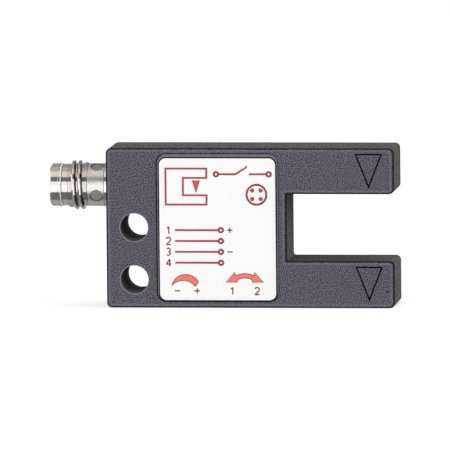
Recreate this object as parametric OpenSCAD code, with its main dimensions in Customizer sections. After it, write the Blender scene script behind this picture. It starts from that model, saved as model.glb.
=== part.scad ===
// Fork light barrier: a slot sensor in a cast housing with two prongs. A light beam crosses the slot
// from the upper prong to the lower one, and a round plug with four pins stands out of the other end.
// Frame: X runs along the housing towards the open end of the fork, Z runs up, and Y runs from the
// label face to the back face. The origin is midway between the two fixing holes, on the back face.

/* [Body] */
// Length of the housing, from the plug end to the ends of the prongs
body_l = 46.45; // [45:0.05:56]
// Thickness of the housing, from the label face to the back face
body_t = 11; // [10.6:0.2:14]
// Thickness of the outer walls
wall = 1.3; // [1.1:0.1:1.5]
// Thickness of the wall behind the label face
front_wall = 1.6; // [1.2:0.1:2]
// Radius of the corners of the housing, seen from the label side
corner_r = 0.8; // [0.5:0.1:1.2]
// Radius of the edge round the label face
edge_r = 0.3; // [0.1:0.05:0.45]
// Chamfer of the edge round the back face
back_chamfer = 0.15; // [0.05:0.05:0.3]

/* [Fork] */
// Width of the slot between the prongs
slot_w = 10.8; // [8:0.1:20]
// Depth of the slot, from the ends of the prongs to its root
slot_depth = 17.35; // [12:0.05:18]
// Height of the upper prong
up_prong_h = 7.35; // [7:0.05:9]
// Height of the lower prong
low_prong_h = 7.55; // [7.2:0.05:9]
// Radius of the corners at the root of the slot
slot_r = 0.4; // [0.2:0.1:1]

/* [Fixing holes] */
// Diameter of the two fixing holes
hole_d = 4.5; // [4.2:0.1:4.6]
// Distance between the two fixing holes
hole_pitch = 8.4; // [7.6:0.1:8.6]
// Distance of the fixing holes from the plug end of the housing
hole_edge = 4.5; // [4.2:0.1:6]
// Height of the middle of the fixing holes above the underside
hole_height = 8.75; // [8:0.05:8.9]
// Metal between a fixing hole and the hollow inside the housing
lug_wall = 1.15; // [1:0.05:1.4]

/* [Label] */
// Land between the fixing holes and the recess of the label
recess_left = 1.35; // [0.8:0.05:2]
// Land between the recess of the label and the root of the slot
recess_right = 1.25; // [0.6:0.05:2]
// Rim above the recess of the label
recess_top = 0.8; // [0.5:0.05:1.5]
// Rim below the recess of the label
recess_bottom = 0.98; // [0.5:0.01:1.5]
// Depth of the recess of the label
recess_depth = 0.4; // [0.25:0.05:0.6]
// Radius of the corners of the recess
recess_r = 1.6; // [1:0.1:2]
// Gap between the label and the recess at each side
label_side = 0.45; // [0.2:0.01:1]
// Gap between the label and the recess at the top
label_top = 0.75; // [0.2:0.01:1]
// Gap between the label and the recess at the bottom
label_bottom = 0.2; // [0.1:0.01:1]
// Thickness of the label
label_t = 0.2; // [0.1:0.05:0.25]
// Thickness of the raised print on the label
print_t = 0.03; // [0.02:0.01:0.05]
// Width of the printed lines
print_line = 0.2; // [0.1:0.02:0.3]

/* [Beam marks] */
// Width of the triangle engraved on each prong
mark_w = 4.5; // [3:0.1:4.8]
// Height of the triangle engraved on each prong
mark_h = 5.7; // [4:0.1:6]
// Distance of the triangle below the upper edge of its prong
mark_drop = 0.82; // [0.6:0.01:1.2]
// Width of the engraved line
mark_line = 0.26; // [0.15:0.01:0.4]
// Depth of the engraved line
mark_depth = 0.18; // [0.1:0.01:0.3]
// Diameter of the small pit in the corner of the lower prong
pit_d = 0.5; // [0.3:0.1:0.8]
// Distance of the pit from the end of the prong
pit_in = 1.1; // [0.9:0.05:1.6]
// Height of the pit above the underside
pit_height = 2.7; // [1.5:0.05:3.5]

/* [Beam] */
// Distance of the beam from the ends of the prongs
beam_in = 4.05; // [3.2:0.05:6]
// Diameter of the opening that the beam passes through
beam_d = 1.3; // [0.8:0.1:1.6]
// Diameter of the window's flange inside the prong
window_d = 2.3; // [2:0.1:3]
// Diameter of the light emitter and of the light receiver
diode_d = 1.9; // [1.6:0.1:2.4]
// Height of the light emitter and of the light receiver
diode_h = 2; // [1.8:0.1:2.2]

/* [Plug] */
// Length of the plug in front of the housing
plug_l = 9.45; // [9:0.05:12]
// Distance of the plug's axis below the top of the housing
plug_drop = 6.35; // [6.1:0.05:6.5]
// Outer diameter of the thread
thread_d = 7.95; // [7.8:0.05:8]
// Diameter of the core under the thread
core_d = 6.84; // [6.7:0.02:6.9]
// Pitch of the thread
thread_pitch = 1; // [0.8:0.05:1.2]
// Diameter of the plug's nose
nose_d = 6.9; // [6.8:0.02:7]
// Length of the plug's nose
nose_l = 1.35; // [1:0.05:1.6]
// Diameter of the lip behind the nose
lip_d = 7.1; // [7.02:0.02:7.3]
// Width of the lip behind the nose
lip_l = 0.55; // [0.4:0.05:0.8]
// Diameter of the neck between the lip and the thread
neck_d = 6.76; // [6.6:0.02:6.8]
// Length of the neck between the lip and the thread
neck_l = 1.1; // [0.8:0.05:1.4]
// Length of the threaded stretch
thread_l = 3.05; // [2.6:0.05:4]
// Diameter of the plain collar behind the thread
collar_d = 6.94; // [6.86:0.02:7.2]
// Diameter of the dimples that are pressed into the collar
dimple_d = 2.1; // [1.2:0.1:2.2]
// Depth of the dimples
dimple_depth = 0.2; // [0.1:0.02:0.3]
// Number of dimples round the collar
dimple_count = 4; // [2:1:6]
// Distance of the dimples from the housing
dimple_x = 1.84; // [1.7:0.02:2.3]
// Angle of the first dimple below the front of the collar
dimple_turn = 27; // [0:1:44]
// Angle round the plug at which the thread starts
thread_turn = -133; // [-180:1:180]
// Inside diameter of the plug's shell
shell_bore = 5.6; // [5.3:0.05:5.8]
// Diameter of the spigot that seats in the housing
spigot_d = 5.8; // [5.4:0.05:5.8]
// Length of the spigot that seats in the housing
spigot_l = 3.5; // [3.3:0.1:4.2]
// Diameter of each contact pin
pin_d = 1; // [0.8:0.05:1.1]
// Depth of the pin tips behind the end of the shell
pin_sunk = 1; // [0.6:0.1:2]
// Free length of each contact pin in front of its carrier
pin_free = 3.9; // [3:0.1:4.4]

/* [Adjusters] */
// Diameter of the head of each adjusting spindle
dial_d = 2.84; // [2.4:0.02:3]
// Gap round the head of a spindle in the wall of the housing
dial_fit = 0.07; // [0.03:0.01:0.1]
// Depth of the spindle heads behind the underside
dial_sunk = 0.25; // [0.1:0.05:0.4]
// Width of the screwdriver slot in a spindle head
driver_w = 0.5; // [0.4:0.05:0.7]
// Distance of the first spindle from the left edge of the label
dial_left = 4.35; // [3.6:0.05:5]
// Distance between the two spindles
dial_spacing = 9.4; // [8.4:0.1:10]
// Diameter of the status light's lens
lens_d = 2; // [1.4:0.1:2.4]

/* [Board] */
// Thickness of the circuit board
board_t = 0.8; // [0.6:0.1:1]
// Gap between the circuit board and the walls
board_gap = 0.4; // [0.3:0.05:0.6]
// Thickness of the rear cover
cover_t = 1.2; // [0.8:0.1:1.6]
// Width of the ledge that the rear cover seats on
ledge_w = 0.5; // [0.4:0.05:0.55]
// Gap round the rear cover
cover_fit = 0.08; // [0.03:0.01:0.15]

/* [Hidden] */

// Overlap that keeps a cut clear of the face it starts from, and a small one for rounded edges
over = 0.5;
edge_over = 0.1;
// Clearance between pieces that are bonded or pressed together
fit = 0.02;
// Least radius of an inset corner
r_least = 0.02;
// Facets of round faces, large and small
fn_big = 72;
fn_small = 32;

// Faces of the housing
x_left = -hole_edge;
x_right = x_left + body_l;
z_low = -hole_height;
z_high = z_low + low_prong_h + slot_w + up_prong_h;
y_front = -body_t;
y_mid = -body_t / 2;
slot_x = x_right - slot_depth;
slot_z0 = z_low + low_prong_h;
slot_z1 = slot_z0 + slot_w;

// Plug axis and the faces of the hollow inside
plug_z = z_high - plug_drop;
plug_land = 0.08;
seat_r = spigot_d / 2 + fit;
seat_x = x_left + spigot_l;
room_x0 = hole_d / 2 + lug_wall;
room_x1 = x_right - wall;
room_root = slot_x - wall;
room_z0 = z_low + wall;
room_z1 = z_high - wall;
room_low_top = slot_z0 - wall;
room_up_floor = slot_z1 + wall;
room_plug_z = plug_z - seat_r - plug_land;
room_y = y_front + front_wall;
room_r = 0.7;
post_r = 0.7;
post_in = 1.1;

// Recess and label
rec_x0 = hole_d / 2 + recess_left;
rec_x1 = slot_x - recess_right;
rec_z0 = z_low + recess_bottom;
rec_z1 = z_high - recess_top;
label_x0 = rec_x0 + label_side;
label_x1 = rec_x1 - label_side;
label_z0 = rec_z0 + label_bottom;
label_z1 = rec_z1 - label_top;
label_r = recess_r - label_side;
label_face = y_front + recess_depth - label_t;

// Beam
beam_x = x_right - beam_in;
window_step = wall / 2;
window_gap = 0.1;
led_gap = 0.2;

// Plug, from its tip towards the housing, with the thread's ridge
tip_x = x_left - plug_l;
lip_x = tip_x + nose_l;
neck_x = lip_x + lip_l;
thread_x = neck_x + neck_l;
collar_x = thread_x + thread_l;
nose_c = 0.25;
lip_c = 0.06;
collar_c = 0.1;
groove_w = 0.12;
groove_out = 0.7;
groove_x = x_left - groove_out;
ridge_in = 0.1;
ridge_x0 = thread_x + ridge_in;
ridge_x1 = collar_x - ridge_in;
ridge_share = 0.45;
ridge_half = ridge_share * thread_pitch;
ridge_sunk = 0.12;
ridge_low = core_d / 2 - ridge_sunk;
root_sunk = 0.2;
ridge_root = core_d / 2 - root_sunk;
ridge_steps = 28;
rise_share = 0.07;
fall_share = 0.15;

// Seal, carrier and pins of the plug
seal_w = 0.7;
seal_out = 1.2;
seal_x = seat_x - seal_out;
seal_depth = 0.42;
seal_slack = 0.1;
spigot_wall = 0.62;
spigot_bore = spigot_d / 2 - spigot_wall;
carrier_face = tip_x + pin_sunk + pin_free;
step_out = 0.5;
carrier_step_x = x_left - step_out;
carrier_over = 1.2;
carrier_in = seat_x + carrier_over;
key_w = 0.8;
key_h = 0.4;
key_l = 2.4;
tail_l = 1.6;
tail_flat = 0.1;
pin_y = board_t / 2 + pin_d / 2 - tail_flat;
pin_z = 1.25;
pin_c = 0.2;

// Adjusters, from the underside of the housing upwards
dial_x1 = label_x0 + dial_left;
dial_x2 = dial_x1 + dial_spacing;
lens_x = (dial_x1 + dial_x2) / 2;
lens_sunk = 0.05;
dial_z = z_low + dial_sunk;
end_play = 0.05;
flange_t = 0.4;
flange_w = 0.45;
flange_z = room_z0 + end_play;
flange_r = dial_d / 2 + flange_w;
driver_depth = 0.4;
driver_share = 0.3;
driver_reach = driver_share * dial_d;
pot_z = flange_z + flange_t + end_play;
pot_h = 2.6;
pot_w = 4.2;
stem_r = 0.8;
stem_l = 1.4;
stem_gap = 0.2;
pot_lead_pitch = 1.3;
pot_lead_l = 1;
ring_t = 0.3;
ring_h = 0.4;
ring_gap = 0.1;
ring_z = (dial_z + driver_depth + ring_gap + room_z0) / 2;

// Circuit board: its faces, its edges and its leads
board_y0 = y_mid - board_t / 2;
board_y1 = y_mid + board_t / 2;
board_x0 = room_x0 + board_gap;
board_x1 = room_root - board_gap;
board_z0 = pot_z + pot_h + led_gap;
board_z1 = room_z1 - board_gap;
mid_x = (board_x0 + board_x1) / 2;
mid_z = (board_z0 + board_z1) / 2;
arm_x0 = dial_x2 + pot_w / 2 + board_gap;
arm_x1 = room_x1 - board_gap;
arm_up_z0 = room_up_floor + diode_h + led_gap;
arm_low_z1 = room_low_top - diode_h - led_gap;
diode_rim = 0.15;
diode_x = beam_x - diode_d / 2 - diode_rim - board_gap;
tongue_z = room_plug_z + board_gap;
board_r = 0.3;
lead_t = 0.25;
lead_w = 0.4;

// Corners of each outline, seen from the label side, as [x, z, radius]: the fork, the hollow inside, and
// the circuit board with two arms that reach into the prongs and a tongue that reaches the plug
fork = [
    [x_left, z_low, corner_r], [x_right, z_low, corner_r],
    [x_right, slot_z0, corner_r], [slot_x, slot_z0, slot_r],
    [slot_x, slot_z1, slot_r], [x_right, slot_z1, corner_r],
    [x_right, z_high, corner_r], [x_left, z_high, corner_r],
];
room = [
    [room_x0, room_z0, room_r], [room_x1, room_z0, room_r],
    [room_x1, room_low_top, room_r], [room_root, room_low_top, room_r],
    [room_root, room_up_floor, room_r], [room_x1, room_up_floor, room_r],
    [room_x1, room_z1, room_r], [seat_x, room_z1, room_r],
    [seat_x, room_plug_z, room_r], [room_x0, room_plug_z, room_r],
];
board = [
    [board_x0, board_z0, board_r], [arm_x0, board_z0, board_r],
    [arm_x0, room_z0 + board_gap, board_r], [arm_x1, room_z0 + board_gap, board_r],
    [arm_x1, arm_low_z1, board_r], [diode_x, arm_low_z1, board_r],
    [diode_x, room_low_top - board_gap, board_r], [board_x1, room_low_top - board_gap, board_r],
    [board_x1, room_up_floor + board_gap, board_r], [diode_x, room_up_floor + board_gap, board_r],
    [diode_x, arm_up_z0, board_r], [arm_x1, arm_up_z0, board_r],
    [arm_x1, board_z1, board_r], [carrier_in, board_z1, board_r],
    [carrier_in, tongue_z, board_r], [board_x0, tongue_z, board_r],
];

// Posts inside the housing that the circuit board rests on, as [x, z]
posts = [
    [board_x0 + post_in, board_z0 + post_in], [board_x1 - post_in, board_z0 + post_in],
    [board_x1 - post_in, board_z1 - post_in], [board_x0 + post_in, board_z1 - post_in],
];

// Corner i of an outline as [x, z], counted round and round
function corner(c, i) = let (p = c[(i + len(c)) % len(c)]) [p[0], p[1]];

// Direction of the side that starts at corner i
function along(c, i) = let (d = corner(c, i + 1) - corner(c, i)) d / norm(d);

// Normal to the left of a direction, which points into an outline that runs anticlockwise
function to_left(d) = [-d[1], d[0]];

// Diagonal from corner i into the outline, and the turn there: 1 for left and -1 for right
function inwards(c, i) = to_left(along(c, i - 1)) + to_left(along(c, i));
function turn_at(c, i) = let (a = along(c, i - 1), b = along(c, i)) sign(a[0] * b[1] - a[1] * b[0]);

// Centre of the rounding of corner i
function centre(c, i) = corner(c, i) + turn_at(c, i) * c[i][2] * inwards(c, i);

// An outline inset by d, or widened where d is negative
function inset(c, d) = [for (i = [0:len(c) - 1])
    let (p = corner(c, i) + d * inwards(c, i))
    [p[0], p[1], max(c[i][2] - turn_at(c, i) * d, r_least)]];

// Corners of a rectangle in the plane of the label face
function box_corners(x0, x1, z0, z1, r) = [[x0, z0, r], [x1, z0, r], [x1, z1, r], [x0, z1, r]];

// Area between corner i of an outline and its rounding
module corner_area(c, i) {
    m = centre(c, i);
    p = corner(c, i);
    q = p + edge_over * [sign(p[0] - m[0]), sign(p[1] - m[1])];
    difference() {
        translate([min(m[0], q[0]), min(m[1], q[1])])
            square([abs(q[0] - m[0]), abs(q[1] - m[1])]);
        translate(m)
            circle(r = c[i][2], $fn = fn_small);
    }
}

// Area of an outline with its rounded corners
module outline_area(c) {
    last = len(c) - 1;
    difference() {
        union() {
            polygon([for (i = [0:last]) corner(c, i)]);
            for (i = [0:last])
                if (turn_at(c, i) < 0)
                    corner_area(c, i);
        }
        for (i = [0:last])
            if (turn_at(c, i) > 0)
                corner_area(c, i);
    }
}

// A flat plate with the given outline, inset by d, from y0 back to y1
module plate(c, y0, y1, d = 0) {
    translate([0, y1, 0])
        rotate([90, 0, 0])
            linear_extrude(y1 - y0)
                outline_area(inset(c, d));
}

// The section given as a child, swept round an outline at the depth y. In the section, x points out of
// the outline and y points towards the label side.
module along_outline(c, y) {
    n = len(c);
    for (i = [0:n - 1]) {
        e = along(c, i);
        start = corner(c, i) + c[i][2] * e;
        side_l = norm(corner(c, i + 1) - corner(c, i)) - c[i][2] - c[(i + 1) % n][2];
        translate([start[0], y, start[1]])
            rotate([90, 0, 0])
                rotate([0, 0, atan2(e[1], e[0])])
                    rotate([90, 0, 90])
                        linear_extrude(side_l)
                            mirror([1, 0, 0])
                                children();
        m = centre(c, i);
        turn = turn_at(c, i);
        out = -turn * to_left(along(c, i - 1));
        translate([m[0], y, m[1]])
            rotate([90, 0, 0])
                rotate([0, 0, atan2(out[1], out[0]) + min(turn, 0) * 90])
                    rotate_extrude(angle = 90, $fn = fn_big)
                        translate([c[i][2], 0])
                            mirror([min(turn, 0), 0, 0])
                                children();
    }
}

// Section outside a rounded edge, which is swept away from the front of the housing
module round_section() {
    difference() {
        translate([-edge_r, -edge_r])
            square([edge_r + edge_over, edge_r + edge_over]);
        translate([-edge_r, -edge_r])
            circle(r = edge_r, $fn = fn_small);
    }
}

// Section outside a chamfered edge, which is swept away from the back of the housing
module chamfer_section() {
    polygon([
        [-back_chamfer, 0], [-back_chamfer, -edge_over], [edge_over, -edge_over],
        [edge_over, back_chamfer + edge_over],
    ]);
}

// Round bars along the three axes
module bar_x(r, x0, x1) {
    translate([x0, 0, 0])
        rotate([0, 90, 0])
            cylinder(h = x1 - x0, r = r);
}
module bar_y(r, y0, y1) {
    translate([0, y1, 0])
        rotate([90, 0, 0])
            cylinder(h = y1 - y0, r = r);
}
module bar_z(r, z0, z1) {
    translate([0, 0, z0])
        cylinder(h = z1 - z0, r = r);
}

// A squeezed seal ring round the z axis: its section is round with a flat inside and outside
module seal_ring(r_in, r_out, h) {
    rotate_extrude($fn = fn_big)
        translate([(r_in + r_out) / 2, 0])
            intersection() {
                circle(r = h / 2, $fn = fn_small);
                square([r_out - r_in, h], center = true);
            }
}

// A block between two opposite corners
module block(a, b) {
    translate(a)
        cube(b - a);
}

// Places on the axes of the plug, of the beam and of an adjuster
module on_plug() {
    translate([0, y_mid, plug_z])
        children();
}
module on_beam() {
    translate([beam_x, y_mid, 0])
        children();
}
module on_dial(x) {
    translate([x, y_mid, 0])
        children();
}

// One engraved triangle, which points down from the given height
module beam_mark(z_top) {
    slope = norm([mark_w / 2, mark_h]);
    inset_side = mark_line * slope / (mark_w / 2);
    inset_top = mark_line;
    k = (mark_h - inset_top - inset_side) / mark_h;
    translate([beam_x, y_front + mark_depth, z_top])
        rotate([90, 0, 0])
            linear_extrude(mark_depth + over)
                difference() {
                    polygon([[-mark_w / 2, 0], [0, -mark_h], [mark_w / 2, 0]]);
                    translate([0, -inset_top])
                        polygon([[-k * mark_w / 2, 0], [0, -k * mark_h], [k * mark_w / 2, 0]]);
                }
}

// Cast housing: a hollow fork that is open at the back, solid round the two fixing holes
module housing() {
    color("dimgray")
        union() {
            difference() {
                plate(fork, y_front, 0);
                along_outline(fork, y_front)
                    round_section();
                along_outline(fork, 0)
                    chamfer_section();
                plate(room, room_y, over);
                plate(room, -cover_t, over, -ledge_w);
                plate(
                    box_corners(rec_x0, rec_x1, rec_z0, rec_z1, recess_r),
                    y_front - over, y_front + recess_depth
                );
                for (s = [-1, 1])
                    translate([0, 0, s * hole_pitch / 2])
                        bar_y(hole_d / 2, y_front - over, over, $fn = fn_big);
                on_plug()
                    bar_x(seat_r, x_left - over, seat_x + over, $fn = fn_big);
                on_beam() {
                    bar_z(beam_d / 2, slot_z0 - wall - over, slot_z0 + over, $fn = fn_small);
                    bar_z(window_d / 2 + fit, slot_z0 - wall - over, slot_z0 - window_step, $fn = fn_small);
                    bar_z(beam_d / 2, slot_z1 - over, slot_z1 + wall + over, $fn = fn_small);
                    bar_z(window_d / 2 + fit, slot_z1 + window_step, slot_z1 + wall + over, $fn = fn_small);
                }
                for (x = [dial_x1, dial_x2])
                    on_dial(x)
                        bar_z(dial_d / 2 + dial_fit, z_low - over, room_z0 + over, $fn = fn_small);
                on_dial(lens_x)
                    bar_z(lens_d / 2 + fit, z_low - over, room_z0 + over, $fn = fn_small);
                beam_mark(z_high - mark_drop);
                beam_mark(slot_z0 - mark_drop);
                translate([x_right - pit_in, 0, z_low + pit_height])
                    bar_y(pit_d / 2, y_front - over, y_front + mark_depth, $fn = fn_small);
            }
            for (p = posts)
                translate([p[0], 0, p[1]])
                    bar_y(post_r, room_y - over, board_y0, $fn = fn_small);
        }
}

// Rear cover: a flat plate bonded into the ledge at the back of the housing
module rear_cover() {
    color("#3a3a3e")
        plate(room, -cover_t, 0, cover_fit - ledge_w);
}

// Outline of the label between the depths y0 and y1
module label_plate(y0, y1) {
    plate(box_corners(label_x0, label_x1, label_z0, label_z1, label_r), y0, y1);
}

// Label: a white film in the recess
module label() {
    color("white")
        label_plate(label_face, label_face + label_t);
}

// Points of an arc about [x, z], from angle a0 to angle a1
function arc(x, z, r, a0, a1, n = 24) = [for (k = [0:n])
    let (a = a0 + (a1 - a0) * k / n)
    [x + r * cos(a), z + r * sin(a)]];

// Flat printed shapes on the label, measured from the point [x, z]
module ink(x, z) {
    translate([x, label_face, z])
        rotate([90, 0, 0])
            linear_extrude(print_t)
                children();
}

// Printed scale over the first adjuster: a crescent that widens from left to right
module crescent_print() {
    outer_r = 2.33;
    outer_x = -0.11;
    outer_z = 1.87;
    inner_r = 2.44;
    inner_x = -0.55;
    inner_z = 0.8;
    outer_from = 166;
    outer_to = 29;
    inner_from = 37;
    inner_to = 136;
    ink(dial_x1, label_z0)
        polygon(concat(
            arc(outer_x, outer_z, outer_r, outer_from, outer_to),
            arc(inner_x, inner_z, inner_r, inner_from, inner_to)
        ));
}

// Printed scale over the second adjuster: a bent arrow with two heads
module double_arrow_print() {
    outer_r = 3.45;
    inner_r = 2.67;
    shaft_t = 0.7;
    tip_in = 3.03;
    barb_in = 1.62;
    barb_h = 1.58;
    heel_in = 1.19;
    base_z = 2.97;
    rise = 1.38;
    outer_to = 65;
    inner_from = 61;
    top_z = base_z + rise;
    head = [[barb_in, base_z + barb_h], [tip_in, base_z], [heel_in, base_z]];
    right = concat(
        arc(0, top_z - outer_r, outer_r, 90, outer_to),
        head,
        arc(0, top_z - shaft_t - inner_r, inner_r, inner_from, 90)
    );
    left = [for (i = [len(right) - 1:-1:0]) [-right[i][0], right[i][1]]];
    ink(dial_x2, label_z0)
        polygon(concat(right, left));
}

// Outline of a small fork that opens to the right, inset by d
function small_fork(w, h, arm, root, d) = [
    [d, d], [w - d, d], [w - d, arm - d], [root - d, arm - d],
    [root - d, h - arm + d], [w - d, h - arm + d], [w - d, h - d], [d, h - d],
];

// Printed sign of a fork light barrier: the fork, and the beam as an arrow across the slot
module fork_print() {
    w = 6.8;
    h = 6;
    arm = 1.7;
    root = 3;
    beam = 5;
    head = 0.6;
    gap = 0.35;
    left = 1;
    drop = 1.6;
    ink(label_x0 + left, label_z1 - h - drop) {
        difference() {
            polygon(small_fork(w, h, arm, root, 0));
            polygon(small_fork(w, h, arm, root, print_line));
        }
        polygon([[beam - head, h - arm - gap], [beam, arm + gap], [beam + head, h - arm - gap]]);
    }
}

// Printed face of the plug: a ring and the four pins
module plug_face_print() {
    ring_r = 1.7;
    spot_r = 0.27;
    spot_in = 0.68;
    right = 3.1;
    drop = 5.9;
    ink(label_x1 - right, label_z1 - drop) {
        difference() {
            circle(r = ring_r, $fn = fn_big);
            circle(r = ring_r - print_line, $fn = fn_big);
        }
        for (sx = [-1, 1], sz = [-1, 1])
            translate([sx * spot_in, sz * spot_in])
                circle(r = spot_r, $fn = fn_small);
    }
}

// An open terminal at the end of a printed line
module terminal() {
    end_r = 0.45;
    translate([end_r - print_line / 2, 0])
        difference() {
            circle(r = end_r, $fn = fn_small);
            circle(r = end_r - print_line, $fn = fn_small);
        }
}

// A printed straight line from x0 to x1
module print_bar(x0, x1) {
    translate([x0, -print_line / 2])
        square([x1 - x0, print_line]);
}

// Printed connections: a line for each pin, which ends in an open terminal
module wiring_print() {
    row = 1.75;
    line_l = 7;
    left = 2.6;
    rise = 6.1;
    for (k = [0:3])
        ink(label_x0 + left, label_z0 + rise + row * k) {
            print_bar(0, line_l);
            translate([line_l, 0])
                terminal();
        }
}

// Printed sign of the output: an open contact between two terminals
module contact_print() {
    half = 3.9;
    open_half = 1.1;
    lever_z = 1.1;
    lever_over = 0.35;
    right = 5.35;
    drop = 2.6;
    ink(label_x1 - right, label_z1 - drop) {
        for (m = [0, 1])
            mirror([m, 0, 0]) {
                print_bar(open_half, half);
                translate([half, 0])
                    terminal();
            }
        polygon([
            [-open_half, -print_line / 2], [-open_half, print_line / 2],
            [open_half - lever_over, lever_z + print_line], [open_half - lever_over, lever_z],
        ]);
    }
}

// Red print of the label, which ends at the label's sides
module label_print() {
    color("indianred")
        intersection() {
            union() {
                crescent_print();
                double_arrow_print();
                fork_print();
                plug_face_print();
                wiring_print();
                contact_print();
            }
            label_plate(label_face - print_t - over, label_face + over);
        }
}

// Radius of the thread's crest after the share t of its turns: it rises out of the core at one end and
// runs back into it at the other
function crest(t) = ridge_low + (thread_d / 2 - ridge_low) * min(1, t / rise_share, (1 - t) / fall_share);

// Thread of the plug: a ridge that winds round the core
module thread_ridge() {
    turns = (ridge_x1 - ridge_x0) / thread_pitch;
    n = ceil(turns * ridge_steps);
    section = [
        [0, -1], [0.55, -0.85], [0.85, -0.6], [1, -0.25], [1, 0.25], [0.85, 0.6], [0.55, 0.85], [0, 1],
    ];
    m = len(section);
    points = [for (k = [0:n])
        let (t = k / n, a = thread_turn + 360 * turns * t, x = ridge_x0 + (ridge_x1 - ridge_x0) * t)
        for (s = section)
            let (r = ridge_root + s[0] * (crest(t) - ridge_root))
            [x + s[1] * ridge_half, r * cos(a), r * sin(a)]];
    sides = [for (k = [0:n - 1]) for (i = [0:m - 1])
        [k * m + i, k * m + (i + 1) % m, (k + 1) * m + (i + 1) % m, (k + 1) * m + i]];
    polyhedron(points, concat([[for (i = [m - 1:-1:0]) i]], sides, [[for (i = [0:m - 1]) n * m + i]]));
}

// Shell of the plug: a turned metal sleeve with its thread, lip, collar and spigot
module plug_shell() {
    profile = [
        [shell_bore / 2, tip_x], [nose_d / 2 - nose_c, tip_x], [nose_d / 2, tip_x + nose_c],
        [nose_d / 2, lip_x], [lip_d / 2, lip_x + lip_c], [lip_d / 2, neck_x - lip_c],
        [neck_d / 2, neck_x], [neck_d / 2, thread_x - lip_c], [core_d / 2, thread_x],
        [core_d / 2, collar_x], [collar_d / 2, collar_x + collar_c],
        [collar_d / 2, groove_x], [collar_d / 2 - groove_w, groove_x],
        [collar_d / 2 - groove_w, groove_x + groove_w], [collar_d / 2, groove_x + groove_w],
        [collar_d / 2, x_left], [spigot_d / 2, x_left],
        [spigot_d / 2, seal_x], [spigot_d / 2 - seal_depth, seal_x],
        [spigot_d / 2 - seal_depth, seal_x + seal_w], [spigot_d / 2, seal_x + seal_w],
        [spigot_d / 2, seat_x], [spigot_bore, seat_x],
        [spigot_bore, carrier_step_x], [shell_bore / 2, carrier_step_x],
    ];
    color("#b8b2a8")
        on_plug()
            difference() {
                union() {
                    rotate([0, 90, 0])
                        rotate_extrude($fn = fn_big)
                            polygon(profile);
                    thread_ridge();
                }
                for (k = [0:dimple_count - 1])
                    rotate([dimple_turn + 360 * k / dimple_count, 0, 0])
                        translate([x_left - dimple_x, 0, 0])
                            bar_y(dimple_d / 2, -collar_d, dimple_depth - collar_d / 2, $fn = fn_small);
            }
}

// Carrier of the contact pins: an insulating insert with a key rib
module contact_carrier() {
    color("#1c1c1e")
        on_plug()
            difference() {
                union() {
                    bar_x(shell_bore / 2 - fit, carrier_face, carrier_step_x, $fn = fn_big);
                    bar_x(spigot_bore - fit, carrier_step_x - over, carrier_in, $fn = fn_big);
                    translate([carrier_face - key_l, -key_w / 2, shell_bore / 2 - key_h - over / 4])
                        cube([key_l + over, key_w, key_h]);
                }
                for (i = [1:4])
                    at_pin(i)
                        bar_x(pin_d / 2 + fit, carrier_face - over, carrier_in + over, $fn = fn_small);
            }
}

// Place of contact pin i, counted round the plug
module at_pin(i) {
    sy = i == 1 || i == 4 ? -1 : 1;
    sz = i <= 2 ? 1 : -1;
    translate([0, sy * pin_y, sz * pin_z])
        children();
}

// Contact pin i: a round pin with a flat tail that is soldered to the circuit board
module contact_pin(i) {
    side = i == 1 || i == 4 ? 1 : -1;
    x0 = tip_x + pin_sunk;
    flat_y = side * (pin_d / 2 - tail_flat);
    color("goldenrod")
        on_plug()
            at_pin(i)
                difference() {
                    union() {
                        translate([x0, 0, 0])
                            rotate([0, 90, 0])
                                cylinder(h = pin_c, r1 = pin_d / 2 - pin_c, r2 = pin_d / 2, $fn = fn_small);
                        bar_x(pin_d / 2, x0 + pin_c, carrier_in + tail_l, $fn = fn_small);
                    }
                    block(
                        [carrier_in, min(flat_y, side * pin_d), -pin_d],
                        [carrier_in + tail_l + over, max(flat_y, side * pin_d), pin_d]
                    );
                }
}

// Seal ring in the groove of the spigot
module plug_seal() {
    color("#222222")
        on_plug()
            translate([seal_x + seal_w / 2, 0, 0])
                rotate([0, 90, 0])
                    seal_ring(spigot_d / 2 - seal_depth, spigot_d / 2, seal_w - seal_slack);
}

// Circuit board in the shape of the fork
module main_board() {
    color("darkgreen")
        plate(board, board_y0, board_y1);
}

// A component on the front face of the circuit board: its centre is [x, z], its size is [x, y, z]
module on_board(x, z, size) {
    translate([x - size[0] / 2, board_y0 - size[1], z - size[2] / 2])
        cube(size);
}

// Amplifier chip with four leads on each side
module signal_chip() {
    chip_w = 4;
    chip_t = 1.4;
    chip_h = 5;
    lead_reach = 0.9;
    foot_t = 0.3;
    foot_h = 0.45;
    side_leads = 4;
    pitch = 1.2;
    tuck = 0.2;
    out = chip_w / 2 + lead_reach / 2 - tuck / 2;
    color("#202020")
        union() {
            on_board(mid_x, mid_z, [chip_w, chip_t, chip_h]);
            for (s = [-1, 1], k = [0:side_leads - 1])
                on_board(
                    mid_x + s * out, mid_z + (k - (side_leads - 1) / 2) * pitch,
                    [lead_reach + tuck, foot_t, foot_h]
                );
        }
}

// Two output transistors, each with three leads
module output_transistors() {
    left = 6;
    spread = 2.2;
    case_w = 1.4;
    case_t = 1;
    case_h = 2.8;
    foot_l = 1;
    foot_t = 0.2;
    foot_h = 0.5;
    foot_out = 1;
    foot_gap = 0.95;
    color("#262626")
        for (s = [-1, 1]) {
            on_board(mid_x - left, mid_z + s * spread, [case_w, case_t, case_h]);
            on_board(mid_x - left - foot_out, mid_z + s * spread, [foot_l, foot_t, foot_h]);
            for (k = [-1, 1])
                on_board(
                    mid_x - left + foot_out, mid_z + s * spread + k * foot_gap,
                    [foot_l, foot_t, foot_h]
                );
        }
}

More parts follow.
